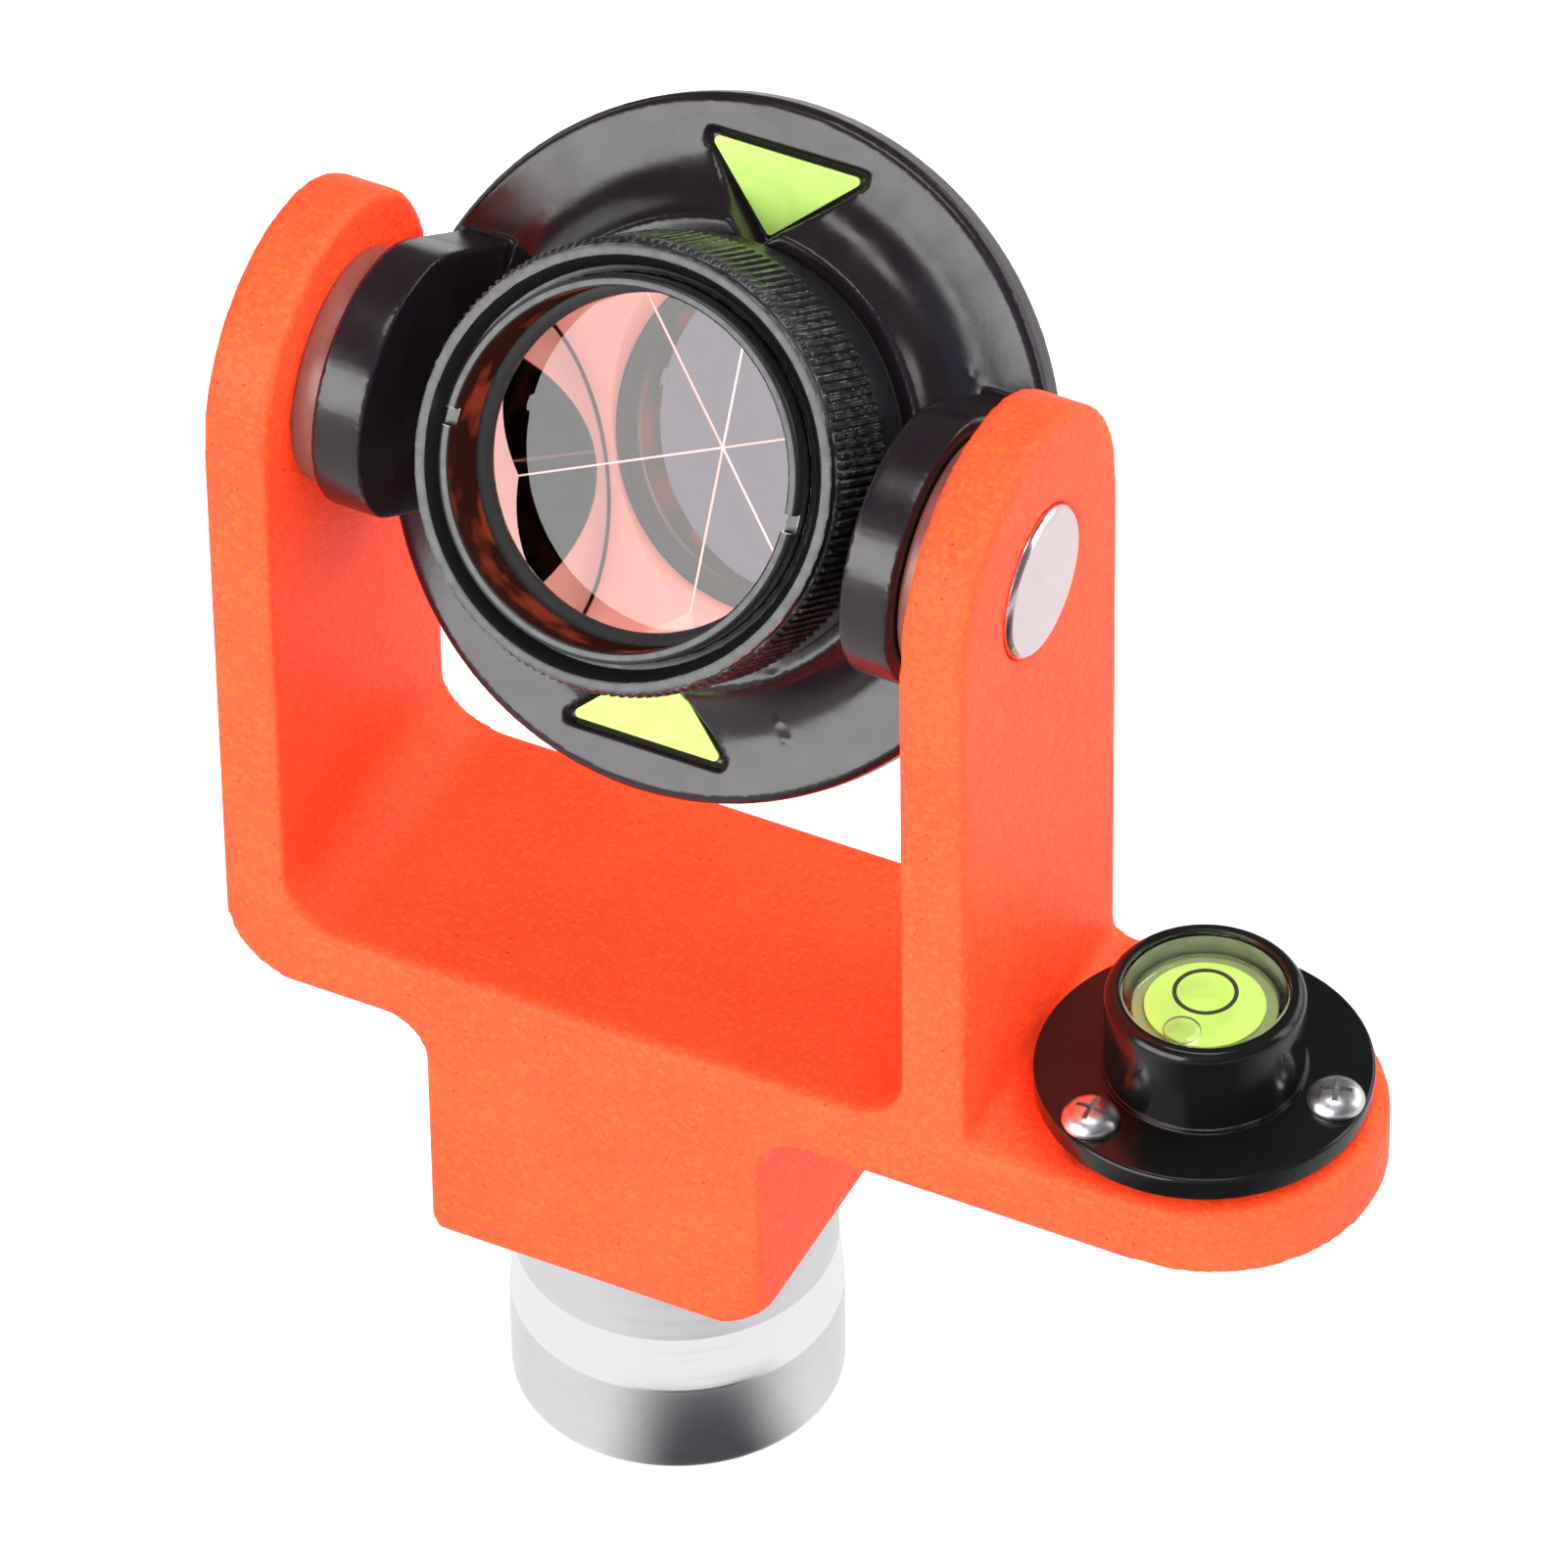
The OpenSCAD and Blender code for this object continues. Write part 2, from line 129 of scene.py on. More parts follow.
def box_mesh(name, low, high, taper=0.0):
    """A box in millimetres whose bottom is smaller than its top by taper on each side."""
    bm = bmesh.new()
    corners = []
    for z, t in ((low[2], taper), (high[2], 0)):
        for x, y in ((low[0] + t, low[1] + t), (high[0] - t, low[1] + t),
                     (high[0] - t, high[1] - t), (low[0] + t, high[1] - t)):
            corners.append(bm.verts.new((x * MM, y * MM, z * MM)))
    for f in ((3, 2, 1, 0), (4, 5, 6, 7), (0, 1, 5, 4), (1, 2, 6, 5), (2, 3, 7, 6), (3, 0, 4, 7)):
        bm.faces.new([corners[i] for i in f])
    mesh = bpy.data.meshes.new(name)
    bm.to_mesh(mesh)
    bm.free()
    return mesh


def cut(mesh, *cutters):
    """The mesh with each cutter taken away from it."""
    scene = bpy.context.scene.collection
    work = bpy.data.objects.new("work", mesh)
    scene.objects.link(work)
    tools = []
    for cutter in cutters:
        tool = bpy.data.objects.new("tool", cutter)
        scene.objects.link(tool)
        tools.append(tool)
        m = work.modifiers.new("cut", "BOOLEAN")
        m.operation = "DIFFERENCE"
        m.solver = "EXACT"
        m.object = tool
    made = applied(work)
    for o in [work] + tools:
        bpy.data.objects.remove(o)
    return made


def applied(obj):
    """A new mesh of obj with its modifiers applied."""
    bpy.context.view_layer.update()
    graph = bpy.context.evaluated_depsgraph_get()
    return bpy.data.meshes.new_from_object(obj.evaluated_get(graph))


def recast(node, voxel, smoothing, grow):
    """The CAD node's solid as an even mesh with its edges rounded, as on a coated casting.
    Smoothing shrinks the solid, so it is then grown by a little, in millimetres."""
    work = bpy.data.objects.new("work", NODES[node].data.copy())
    bpy.context.scene.collection.objects.link(work)
    m = work.modifiers.new("remesh", "REMESH")
    m.mode = "VOXEL"
    m.voxel_size = voxel * MM
    m = work.modifiers.new("smooth", "SMOOTH")
    m.factor = 0.5
    m.iterations = smoothing
    m = work.modifiers.new("grow", "DISPLACE")
    m.mid_level = 0.0
    m.strength = grow * MM
    made = applied(work)
    made.materials.clear()
    bpy.data.objects.remove(work)
    return made


# ------------------------------------------------------------ material helpers

class Paint:
    """A Principled material whose colour, roughness and bump are built up step by step."""

    def __init__(self, name, color, roughness, **values):
        self.material = bpy.data.materials.new(name)
        self.material.use_nodes = True
        self.tree = self.material.node_tree
        self.shader = self.tree.nodes["Principled BSDF"]
        self.color = (*color, 1.0)
        self.put("Base Color", self.color)
        self.put("Roughness", roughness)
        for key, value in values.items():
            self.put(key.replace("_", " "), value)
        self.coords = self.node("ShaderNodeTexCoord").outputs["Object"]
        self.normal = None

    def node(self, kind, **settings):
        made = self.tree.nodes.new(kind)
        for key, value in settings.items():
            setattr(made, key, value)
        return made

    def put(self, socket, value):
        """Sets a socket of the shader, or links an output to it."""
        if isinstance(value, bpy.types.NodeSocket):
            self.tree.links.new(value, self.shader.inputs[socket])
        else:
            self.shader.inputs[socket].default_value = value

    def feed(self, node, socket, value):
        if isinstance(value, bpy.types.NodeSocket):
            self.tree.links.new(value, node.inputs[socket])
        else:
            node.inputs[socket].default_value = value

    def noise(self, size, detail=2.0, stretch=(1, 1, 1), rough=0.5):
        """Noise whose blobs are about size millimetres across."""
        mapping = self.node("ShaderNodeMapping")
        mapping.inputs["Scale"].default_value = stretch
        self.tree.links.new(self.coords, mapping.inputs["Vector"])
        made = self.node("ShaderNodeTexNoise")
        made.inputs["Scale"].default_value = 1000 / size
        made.inputs["Detail"].default_value = detail
        made.inputs["Roughness"].default_value = rough
        self.tree.links.new(mapping.outputs["Vector"], made.inputs["Vector"])
        return made.outputs["Fac"]

    def spots(self, spacing, size, share):
        """1 on sparse round spots and 0 elsewhere."""
        made = self.node("ShaderNodeTexVoronoi")
        made.inputs["Scale"].default_value = 1000 / spacing
        self.tree.links.new(self.coords, made.inputs["Vector"])
        near = self.ramp(made.outputs["Distance"], size, size * 0.5)
        chosen = self.ramp(made.outputs["Color"], 1 - share, 1 - share + 0.02)
        return self.math("MULTIPLY", near, chosen)

    def ramp(self, value, low, high, to_low=0.0, to_high=1.0):
        """Maps low..high to to_low..to_high, clamped."""
        made = self.node("ShaderNodeMapRange")
        self.feed(made, "Value", value)
        for key, number in (("From Min", low), ("From Max", high), ("To Min", to_low), ("To Max", to_high)):
            made.inputs[key].default_value = number
        return made.outputs["Result"]

    def math(self, operation, a, b):
        made = self.node("ShaderNodeMath", operation=operation)
        self.feed(made, 0, a)
        self.feed(made, 1, b)
        return made.outputs[0]

    def tint(self, color, amount):
        """Mixes a second colour into the base colour."""
        made = self.node("ShaderNodeMix", data_type="RGBA")
        self.feed(made, "Factor", amount)
        self.feed(made, "A", self.color)
        self.feed(made, "B", (*color, 1.0))
        self.color = made.outputs["Result"]
        self.put("Base Color", self.color)
        return self

    def roughen(self, value, low, high):
        self.put("Roughness", self.ramp(value, 0.3, 0.7, low, high))
        return self

    def bump(self, height, depth, strength=1.0):
        """Adds relief of depth millimetres."""
        made = self.node("ShaderNodeBump")
        made.inputs["Strength"].default_value = strength
        made.inputs["Distance"].default_value = depth * MM
        self.feed(made, "Height", height)
        if self.normal:
            self.tree.links.new(self.normal, made.inputs["Normal"])
        self.normal = made.outputs["Normal"]
        self.put("Normal", self.normal)
        return self

    def edges(self, radius, low, high):
        """0 on flats and 1 where the surface turns sharply within radius millimetres."""
        bevel = self.node("ShaderNodeBevel", samples=4)
        bevel.inputs["Radius"].default_value = radius * MM
        geometry = self.node("ShaderNodeNewGeometry")
        dot = self.node("ShaderNodeVectorMath", operation="DOT_PRODUCT")
        self.tree.links.new(bevel.outputs["Normal"], dot.inputs[0])
        self.tree.links.new(geometry.outputs["Normal"], dot.inputs[1])
        return self.ramp(dot.outputs["Value"], 1 - low, 1 - high)


def lines(paint, pitch, along):
    """Fine parallel marks across one object axis, pitch millimetres apart."""
    stretch = [0.02, 0.02, 0.02]
    stretch["xyz".index(along)] = 1.0
    return paint.noise(pitch, 3.0, stretch)


# ------------------------------------------------------------------- materials

def make_materials():
    made = {}

    p = Paint("orange_powder_coat", (0.96, 0.056, 0.019), 0.42, Specular_IOR_Level=0.11)
    peel, fine = p.noise(1.1, 2.0), p.noise(0.28, 2.0)
    pits = p.spots(1.3, 0.1, 0.45)
    p.tint((0.93, 0.044, 0.014), p.ramp(p.noise(7, 3.0), 0.35, 0.65, 0.0, 0.7))
    p.tint((0.9, 0.034, 0.012), p.ramp(p.noise(0.5, 4.0, rough=0.7), 0.52, 0.7, 0.0, 0.55))
    p.tint((0.96, 0.085, 0.012), p.ramp(p.noise(0.4, 3.0), 0.5, 0.64, 0.0, 0.7))
    p.tint((0.25, 0.01, 0.006), p.ramp(pits, 0, 1, 0, 0.8))
    p.roughen(fine, 0.36, 0.56)
    p.bump(peel, 0.14, 0.8).bump(fine, 0.05, 0.9).bump(p.math("SUBTRACT", 1.0, pits), 0.06, 0.8)
    made["orange"] = p.material

    p = Paint("gloss_black_coat", (0.007, 0.004, 0.006), 0.22, Specular_IOR_Level=0.52)
    wear_and_edge_highlight = p.math("MULTIPLY", p.edges(0.35, 0.08, 0.3), p.ramp(p.noise(1.2, 4.0), 0.5, 0.62))
    p.tint((0.05, 0.035, 0.03), wear_and_edge_highlight)
    p.roughen(p.noise(2.5, 4.0), 0.18, 0.3)
    p.bump(p.noise(5.0, 1.5), 0.12, 0.4).bump(p.noise(0.7, 2.0), 0.016, 0.5)
    made["black_coat"] = p.material

    p = Paint("black_anodised", (0.006, 0.006, 0.007), 0.3, Specular_IOR_Level=0.62)
    # Sharp edges are lighter grey in patches: partly wear, partly a painted highlight.
    wear_and_edge_highlight = p.math("MULTIPLY", p.edges(0.15, 0.06, 0.25), p.ramp(p.noise(0.9, 4.0), 0.46, 0.6))
    p.tint((0.36, 0.35, 0.35), wear_and_edge_highlight)
    p.roughen(p.noise(0.8, 3.0), 0.24, 0.38)
    p.bump(p.noise(0.12, 2.0), 0.006, 0.5)
    made["black_anodised"] = p.material

    # The weak red glow stands for light that the coated glass throws on to the bore.
    p = Paint("black_bore", (0.012, 0.005, 0.004), 0.5, Specular_IOR_Level=0.0)
    p.roughen(p.noise(0.8, 3.0), 0.45, 0.6)
    p.put("Emission Color", (1.0, 0.13, 0.05, 1.0))
    p.put("Emission Strength", p.ramp(p.noise(4.0, 2.0), 0.5, 0.64, 0.015, 0.2))
    made["black_bore"] = p.material

    p = Paint("level_black", (0.003, 0.003, 0.003), 0.15, Specular_IOR_Level=0.4)
    # Sharp edges are painted a lighter grey in patches.
    wear_and_edge_highlight = p.math("MULTIPLY", p.edges(0.12, 0.05, 0.2), p.ramp(p.noise(0.8, 4.0), 0.5, 0.62))
    p.tint((0.28, 0.27, 0.27), wear_and_edge_highlight)
    p.roughen(p.noise(1.5, 3.0), 0.1, 0.24)
    p.bump(p.noise(0.3, 2.0), 0.008, 0.5)
    made["level_black"] = p.material

    p = Paint("turned_aluminium", (0.83, 0.825, 0.84), 0.36, Metallic=1.0, Anisotropic=0.8)
    p.roughen(lines(p, 0.35, "z"), 0.34, 0.4)
    p.tint((0.78, 0.78, 0.8), p.ramp(p.noise(3, 4.0), 0.4, 0.7, 0, 0.6))
    p.bump(lines(p, 0.09, "z"), 0.0012, 0.5)
    made["aluminium"] = p.material

    # The cone's colour is lighter than the turned aluminium's: a painted sheen on top of its real polish.
    p = Paint("polished_aluminium", (0.95, 0.945, 0.95), 0.14, Metallic=1.0)
    p.roughen(lines(p, 0.35, "z"), 0.1, 0.18)
    p.bump(lines(p, 0.09, "z"), 0.0006, 0.5)
    made["polished"] = p.material

    # The steel's pink tint is a painted reflection of the orange paint around it.
    p = Paint("machined_steel", (0.92, 0.76, 0.77), 0.24, Metallic=1.0)
    p.roughen(p.noise(1.2, 4.0), 0.2, 0.3)
    p.tint((0.86, 0.71, 0.72), p.ramp(p.noise(2.6, 3.0), 0.4, 0.75, 0, 0.6))
    p.bump(p.noise(0.18, 3.0, (1, 0.08, 1)), 0.002, 0.5).bump(p.noise(1.6, 2.0), 0.003, 0.3)
    made["steel"] = p.material

    p = Paint("nickel_screw", (0.82, 0.8, 0.78), 0.34, Metallic=1.0)
    p.roughen(p.noise(0.5, 3.0), 0.28, 0.42)
    p.bump(p.noise(0.2, 3.0), 0.008, 0.5)
    made["screw"] = p.material

    p = Paint("lime_mark_paint", (0.36, 0.56, 0.1), 0.5, Specular_IOR_Level=0.5)
    p.tint((0.28, 0.48, 0.06), p.ramp(p.noise(1.5, 4.0), 0.4, 0.7, 0, 0.6))
    p.roughen(p.noise(0.5, 3.0), 0.42, 0.6)
    p.bump(p.noise(0.2, 2.0), 0.01, 0.5)
    made["lime"] = p.material

    p = Paint("lime_level_disc", (0.5, 0.68, 0.14), 0.5)
    p.tint((0.5, 0.7, 0.12), p.ramp(p.noise(2.0, 3.0), 0.4, 0.7))
    p.roughen(p.noise(0.5, 3.0), 0.42, 0.6)
    made["lime_disc"] = p.material

    p = Paint("green_level_base", (0.25, 0.27, 0.13), 0.4)
    p.roughen(p.noise(0.5, 3.0), 0.32, 0.5)
    made["level_base"] = p.material

    p = Paint("black_rubber", (0.018, 0.018, 0.018), 0.6, Specular_IOR_Level=0.4)
    p.roughen(p.noise(0.6, 4.0), 0.5, 0.72)
    p.bump(p.noise(0.12, 3.0), 0.01, 0.6)
    made["rubber"] = p.material

    p = Paint("washer_plastic", (0.14, 0.045, 0.035), 0.32, IOR=1.5)
    p.tint((0.11, 0.04, 0.032), p.ramp(p.noise(2, 3.0), 0.4, 0.7))
    p.roughen(p.noise(0.4, 3.0), 0.25, 0.42)
    p.bump(p.noise(0.25, 3.0), 0.008, 0.5)
    made["washer"] = p.material

    p = Paint("optical_glass", (1.0, 1.0, 1.0), 0.0, Transmission_Weight=1.0, IOR=1.517)
    p.bump(p.noise(6.0, 1.0), 0.0002, 0.2)
    made["glass"] = p.material

    p = Paint("copper_coating", (0.98, 0.74, 0.7), 0.02, Metallic=1.0)
    p.roughen(p.noise(3.0, 2.0), 0.0, 0.03)
    made["copper"] = p.material

    # The glow stands for the light that reaches the side through the front of the glass.
    p = Paint("ground_glass_side", (0.95, 0.6, 0.55), 0.6, Emission_Strength=0.28)
    p.put("Emission Color", (1.0, 0.86, 0.84, 1.0))
    p.tint((0.9, 0.6, 0.56), p.ramp(p.noise(0.8, 3.0), 0.4, 0.7))
    p.bump(p.noise(0.1, 2.0), 0.02, 0.5)
    made["ground"] = p.material

    p = Paint("clear_vial", (0.93, 0.99, 0.88), 0.0, Transmission_Weight=1.0, IOR=1.47)
    p.bump(p.noise(3.0, 1.0), 0.001, 0.2)
    made["vial"] = p.material

    p = Paint("vial_side_paint", (0.42, 0.46, 0.3), 0.5)
    p.tint((0.3, 0.34, 0.2), p.ramp(p.noise(2.0, 3.0), 0.4, 0.7))
    p.roughen(p.noise(0.5, 3.0), 0.42, 0.6)
    made["vial_side"] = p.material

    p = Paint("bubble_gas", (1.0, 1.0, 1.0), 0.0, Transmission_Weight=1.0, IOR=0.88)
    p.bump(p.noise(3.0, 1.0), 0.0005, 0.2)
    made["bubble"] = p.material

    p = Paint("black_ink", (0.015, 0.015, 0.015), 0.45)
    p.roughen(p.noise(0.3, 3.0), 0.35, 0.6)
    made["ink"] = p.material

    return made


# ---------------------------------------------------------------------- pieces

def keep(node, material):
    """A CAD node that stays, with its finish."""
    mesh = NODES[node].data
    mesh.materials.clear()
    mesh.materials.append(material)


def make_yoke(mats):
    mesh = recast("yoke", 0.4, 9, 0.12)
    piece("yoke_casting", mesh, "yoke_body", ["yoke"], mats["orange"], sharp=180)


def make_holder(mats):
    mesh = recast("target_holder", 0.22, 6, 0.03)
    to_prism = PRISM.inverted()
    # Small dings and one raised speck on the disc's face: x, y, radius and height.
    dents = [(16.4, 10.0, 0.5, -0.12), (8.7, -12.6, 0.5, -0.1), (9.2, -16.35, 0.35, -0.12),
             (9.75, -17.6, 0.35, -0.12), (-10.8, -18.0, 0.5, 0.08)]
    behind_face = -11.5
    for v in mesh.vertices:
        p = to_prism @ v.co / MM
        if p.z < behind_face:
            continue
        for x, y, size, height in dents:
            d = math.hypot(p.x - x, p.y - y)
            if d < 2 * size:
                p.z += height * math.exp(-(d / size) ** 2)
                v.co = PRISM @ (p * MM)
    piece("target_holder_casting", mesh, "holder_body", ["target_holder"],
          mats["black_coat"], sharp=180)


def make_canister(mats):
    teeth, groove = 149, 0.26

    def knurl(r, h, angle):
        if r < 15.05 or not -2.2 < h < 5.65:
            return r
        wave = abs(((angle * teeth / (2 * math.pi)) % 1.0) - 0.5) * 2
        return r - groove * (1 - min(1.0, wave * 1.5))

    outline = [
        (12.9, -6.5), (15.0, -6.5), (15.0, -2.35), (15.12, -2.3), (15.4, -2.0), (15.4, 1.8),
        (15.4, 5.5), (15.12, 5.75), (15.0, 5.8), (15.0, 6.6), (14.25, 6.6), (13.5, 5.4), (13.05, 5.4),
        (13.05, 0.0), (12.8, 0.0), (12.8, -6.5)]
    corner = [0, 0.15, 0, 0, 0, 0, 0, 0, 0, 0.12, 0.12, 0.1, 0.08, 0.05, 0.05, 0]
    mesh = lathe("canister_collar", soften(outline, corner, 2)[1:], teeth * 6, knurl)
    piece("canister_collar", mesh, "canister_body", ["prism_canister"],
          mats["black_anodised"], PRISM, sharp=30)

    thread_depth = 0.6

    def thread(r, h, angle):
        if r < 13.85 or h < -20.4 or h > -7.4:
            return r
        phase = (h - angle / (2 * math.pi)) % 1.0
        return r - thread_depth * min(1.0, max(0.0, 1.35 * (1 - abs(phase - 0.5) * 2.2)))

    rows = [(13.9, -20.3 + 0.125 * i) for i in range(105)]
    outline = ([(12.5, -18.9), (12.5, -20.7), (12.6, -20.8), (13.3, -20.8)] + rows
               + [(13.9, -6.55), (12.8, -6.55), (12.8, -12.4), (11.5, -12.4), (11.5, -18.9)])
    mesh = lathe("canister_thread", outline, 160, thread)
    piece("canister_thread", mesh, "canister_body", ["prism_canister"],
          mats["black_anodised"], PRISM, sharp=40)


def make_retainer(mats):
    outline = [(12.2, 4.4), (13.0, 4.4), (13.0, 7.2), (12.8, 7.4), (12.3, 7.4), (12.2, 7.3)]
    mesh = lathe("retaining_ring", soften(outline, [0.05, 0.05, 0.1, 0.1, 0.08, 0.08], 2), 192)
    notches = [box_mesh("notch", (s * 12.6 - 1, -0.6, 6.5), (s * 12.6 + 1, 0.6, 8.5)) for s in (-1, 1)]
    mesh = cut(mesh, *notches)
    # The ring's inward faces are part of the bore.
    for face in mesh.polygons:
        if face.normal.xy.dot(face.center.xy.normalized()) < -0.9:
            face.material_index = 1
    piece("retaining_ring_turned", mesh, "canister_body", ["retaining_ring"],
          [mats["black_anodised"], mats["black_bore"]], PRISM)


def make_glass(mats):
    """Corner cube: a glass cylinder cut by three faces of a cube, coated on those faces."""
    front, height, radius, clocking = 0.6, 18.8, 12.7, 23
    bm = bmesh.new()
    bmesh.ops.create_cone(bm, cap_ends=True, segments=160, radius1=radius * MM, radius2=radius * MM,
                          depth=height * MM, matrix=Matrix.Translation((0, 0, (front - height / 2) * MM)))
    rim = [e for e in bm.edges if all(v.co.z > (front - 0.01) * MM for v in e.verts)]
    bmesh.ops.bevel(bm, geom=rim, offset=0.2 * MM, segments=1, profile=0.5, affect="EDGES")
    tip = Vector((0, 0, (front - height) * MM))
    turn = (Matrix.Rotation(math.radians(clocking), 3, "Z")
            @ Matrix.Rotation(-math.atan(math.sqrt(2)), 3, "Y")
            @ Matrix.Rotation(math.radians(-45), 3, "Z"))
    inward = [turn @ Vector(axis) for axis in ((1, 0, 0), (0, 1, 0), (0, 0, 1))]
    for normal in inward:
        cutting = bmesh.ops.bisect_plane(bm, geom=bm.verts[:] + bm.edges[:] + bm.faces[:], dist=1e-7,
                                         plane_co=tip, plane_no=normal, clear_inner=True)
        opened = [g for g in cutting["geom_cut"] if isinstance(g, bmesh.types.BMEdge)]
        bmesh.ops.holes_fill(bm, edges=opened)
    bmesh.ops.recalc_face_normals(bm, faces=bm.faces)
    point = min(bm.verts, key=lambda v: v.co.z)
    ridges = [e for e in point.link_edges]
    bmesh.ops.bevel(bm, geom=ridges, offset=0.09 * MM, segments=1, profile=0.5, affect="EDGES")
    bmesh.ops.recalc_face_normals(bm, faces=bm.faces)
    # The cube's faces are coated, and the side between them and the front is ground.
    for face in bm.faces:
        if any(face.normal.dot(n) < -0.95 for n in inward):
            face.material_index = 1
        elif face.normal.z < 0.2:
            face.material_index = 2
    mesh = bpy.data.meshes.new("corner_cube")
    bm.to_mesh(mesh)
    bm.free()
    piece("corner_cube_coated", mesh, "canister_body", ["corner_cube_glass"],
          [mats["glass"], mats["copper"], mats["ground"]], PRISM, sharp=20)


def make_stub(mats):
    pitch, minor, major = 2.309, 6.75, 7.94

    def thread(r, h, angle):
        if r > 7.0:
            return r
        phase = (h / pitch - angle / (2 * math.pi)) % 1.0
        depth = min(1.0, max(0.0, 1.15 * (1 - abs(phase - 0.5) * 2.25)))
        lead = 1.45 - h if h < 1.45 else 0.0
        return max(r + (major - minor) * depth * min(1.0, max(0.0, (13.8 - h))), minor + lead)

    outside = [(0.0, 29.5), (7.6, 29.5), (8.0, 29.1), (8.0, 17.5), (11.45, 17.5), (11.45, 12.2),
               (11.8, 7.6), (11.8, 0.2), (11.6, 0.0), (8.2, 0.0)]
    corner = [0, 0.05, 0.05, 0.05, 0.1, 0.2, 0.2, 0.08, 0.08, 0.05]
    rows = [(minor, 0.15 * i) for i in range(1, 93)]
    inside = [(5.6, 14.0), (5.6, 18.0), (0.0, 18.0)]
    outline = soften(outside, corner, 3, closed=False) + rows + inside
    mesh = lathe("stub", outline, 160, thread, closed=False)
    # The cone is polished, and its lighter colour is a painted sheen.
    for face in mesh.polygons:
        if 7.5 < face.center.z / MM < 12.3 and face.center.xy.length > 11 * MM:
            face.material_index = 1
    piece("stub_turned", mesh, "yoke_body", ["base_stub"],
          [mats["aluminium"], mats["polished"]], sharp=3)


def make_pins_and_washers(mats):
    pin = [(0.0, 18.9), (2.6, 18.9), (3.0, 19.3), (3.0, 23.6), (5.4, 23.6), (5.4, 28.25),
           (5.05, 28.6), (0.0, 28.62)]
    pin_corner = [0, 0.1, 0.1, 0.05, 0.1, 0.15, 0.15, 0]
    washer = [(3.1, 21.55), (8.3, 21.55), (8.3, 23.5), (3.1, 23.5)]
    for side, turn in (("right", Matrix.Identity(4)), ("left", Matrix.Scale(-1, 4, (1, 0, 0)))):
        mesh = lathe("pin", soften(pin, pin_corner, 3, closed=False), 96, closed=False)
        piece(f"{side}_pin_turned", mesh, "yoke_body", [f"{side}_trunnion_pin"],
              mats["steel"], turn @ ALONG_X)
        mesh = lathe("washer", soften(washer, [0.1, 0.3, 0.3, 0.1], 3), 128)
        piece(f"{side}_washer_moulded", mesh, "yoke_body",
              [f"{side}_friction_washer"], mats["washer"], turn @ ALONG_X)


def make_level(mats):
    housing = [(0.0, 42.5), (11.4, 42.5), (11.6, 42.7), (11.6, 44.2), (11.4, 44.4), (7.0, 44.4),
               (7.0, 44.65), (6.85, 44.7), (6.85, 50.8), (6.35, 51.3), (5.85, 51.3), (5.75, 51.2),
               (5.75, 43.25), (0.0, 43.25)]
    corner = [0, 0.1, 0.12, 0.12, 0.12, 0.15, 0.08, 0.05, 0.35, 0.35, 0.08, 0.08, 0.05, 0]
    mesh = lathe("housing", soften(housing, corner, 4, closed=False), 160, closed=False)
    piece("level_housing_moulded", mesh, "yoke_body", ["level_housing"],
          mats["level_black"], LEVEL)

    vial = [(0.0, 50.95), (5.55, 50.95), (5.7, 50.8), (5.7, 43.3), (4.95, 43.3), (4.95, 48.87),
            (0.0, 48.87)]
    corner = [0, 0.12, 0.12, 0.03, 0.03, 0.03, 0]
    mesh = lathe("vial", soften(vial, corner, 3, closed=False), 128, closed=False)
    # The vial's side is painted up to just below its top.
    for face in mesh.polygons:
        if face.center.xy.length > 5.69 * MM and face.center.z < 50.5 * MM:
            face.material_index = 1
    piece("level_vial_filled", mesh, "yoke_body", ["level_vial", "level_liquid"],
          [mats["vial"], mats["vial_side"]], LEVEL)

    half, wide = 0.42, 1.3
    rim = [(wide - half + half * math.cos(a), half * math.sin(a))
           for a in [math.radians(90 - 15 * k) for k in range(13)]]
    mesh = lathe("bubble", [(0.0, half)] + rim + [(0.0, -half)], 64, closed=False)
    mesh.transform(Matrix.Translation((-0.25 * MM, -3.2 * MM, 49.38 * MM)))
    piece("level_bubble_round", mesh, "yoke_body", ["level_bubble"], mats["bubble"], LEVEL)

    z = 44.42
    head = [(0.0, z + 1.3), (0.7, z + 1.27), (1.3, z + 1.1), (1.75, z + 0.78), (1.97, z + 0.42),
            (2.0, z + 0.2), (1.95, z + 0.02), (0.95, z), (0.95, z - 5.9), (0.0, z - 5.9)]
    for number, turn in enumerate((2, 122, 242)):
        mesh = lathe("screw", head, 48, closed=False)
        low = z + 0.45
        cross = [box_mesh("arm", (-1.15, -0.24, low), (1.15, 0.24, z + 2), 0.12),
                 box_mesh("arm", (-0.24, -1.15, low), (0.24, 1.15, z + 2), 0.12)]
        mesh = cut(mesh, *cross)
        around = Matrix.Rotation(math.radians(turn), 4, "Z")
        spin = Matrix.Rotation(math.radians(17 + 50 * number), 4, "Z")
        place = LEVEL @ around @ Matrix.Translation((9.6 * MM, 0, 0)) @ spin
        piece(f"level_screw_{number + 1}", mesh, "yoke_body", ["level_screws"],
              mats["screw"], place, sharp=30)


# ----------------------------------------------------------------------- stage

def softbox(name, direction, distance, width, height, radiance):
    """An area light aimed at the object, with its brightness given as radiance."""
    light = bpy.data.lights.new(name, "AREA")
    light.shape = "RECTANGLE"
    light.size, light.size_y = width, height
    light.energy = radiance * math.pi * width * height
    made = bpy.data.objects.new(name, light)
    away = Vector(direction).normalized()
    made.location = Vector((0, 0, 0.06)) + away * distance
    made.rotation_mode = "QUATERNION"
    made.rotation_quaternion = away.to_track_quat("Z", "Y")
    bpy.context.scene.collection.objects.link(made)
    return made


